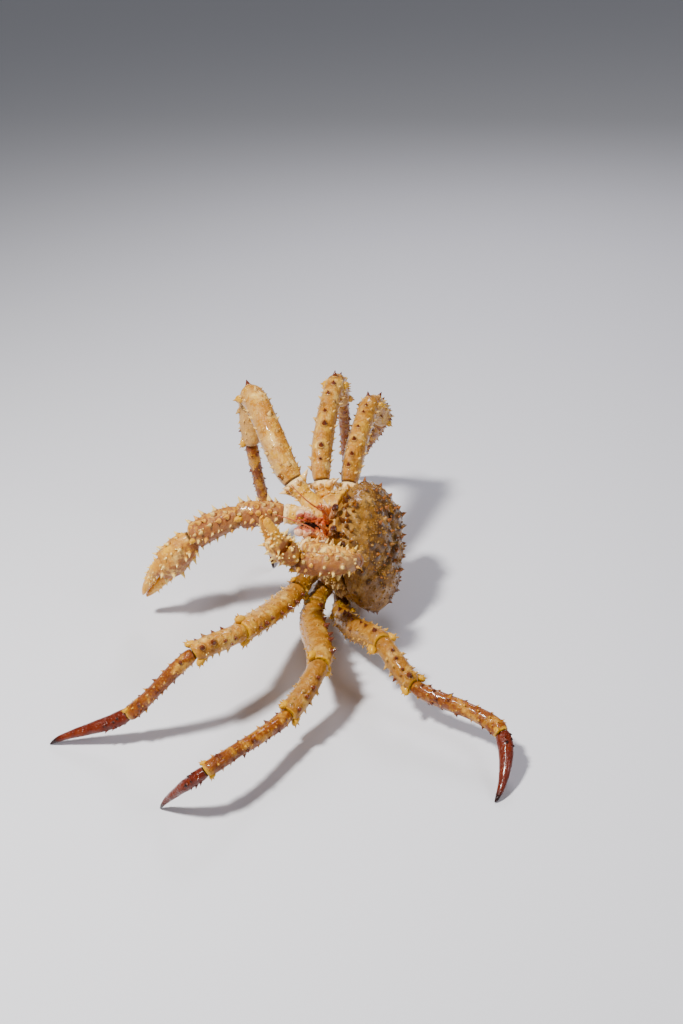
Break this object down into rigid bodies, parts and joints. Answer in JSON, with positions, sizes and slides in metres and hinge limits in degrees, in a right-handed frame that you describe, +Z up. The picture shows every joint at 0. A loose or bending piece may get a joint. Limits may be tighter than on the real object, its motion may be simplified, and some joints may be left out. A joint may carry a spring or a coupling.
{
  "type": "red king crab",
  "caption": "Life-size still model of a red king crab rearing over on its left side, standing on its leg tips with both claws held in front.",
  "frame": {"origin": "on the floor, at the middle of the crab's footprint box", "axes": "+Z up; +X to the right as the picture sees the crab, the side its back faces; +Y away from the picture's viewpoint, the side of its right legs"},
  "size_m": [0.4651, 0.6538, 0.2357],
  "materials": {
    "shell": "wet ochre brown shell with small dark-tipped spines",
    "claw_shell": "wet brown shell with a purple tint and long pale spines",
    "underside": "smooth cream to yellow shell of the underside and leg roots",
    "leg_tip": "dark reddish brown horn, black at the tip",
    "mouthparts": "wet orange red feelers and mouthparts",
    "eye": "glossy black eye on a brown stalk"
  },
  "bodies": {
    "root": {"carapace": "shell", "thorax": "underside", "abdomen": "underside", "right_eye": "eye", "right_antenna": "mouthparts", "right_antennule": "mouthparts", "right_maxilliped": "mouthparts", "right_jaw": "mouthparts", "left_eye": "eye", "left_antenna": "mouthparts", "left_antennule": "mouthparts", "left_maxilliped": "mouthparts", "left_jaw": "mouthparts", "right_claw_coxa": "underside", "right_claw_merus": "claw_shell", "right_claw_carpus": "claw_shell", "right_claw_palm": "claw_shell", "right_claw_finger": "claw_shell", "left_claw_coxa": "underside", "left_claw_merus": "claw_shell", "left_claw_carpus": "claw_shell", "left_claw_palm": "claw_shell", "left_claw_finger": "claw_shell", "right_front_coxa": "underside", "right_front_merus": "shell", "right_front_carpus": "shell", "right_front_propodus": "shell", "right_front_dactylus": "leg_tip", "right_middle_coxa": "underside", "right_middle_merus": "shell", "right_middle_carpus": "shell", "right_middle_propodus": "shell", "right_middle_dactylus": "leg_tip", "right_back_coxa": "underside", "right_back_merus": "shell", "right_back_carpus": "shell", "right_back_propodus": "shell", "right_back_dactylus": "leg_tip", "left_front_coxa": "underside", "left_front_merus": "shell", "left_front_carpus": "shell", "left_front_propodus": "shell", "left_front_dactylus": "leg_tip", "left_middle_coxa": "underside", "left_middle_merus": "shell", "left_middle_carpus": "shell", "left_middle_propodus": "shell", "left_middle_dactylus": "leg_tip", "left_back_coxa": "underside", "left_back_merus": "shell", "left_back_carpus": "shell", "left_back_propodus": "shell", "left_back_dactylus": "leg_tip"}
  },
  "joints": []
}
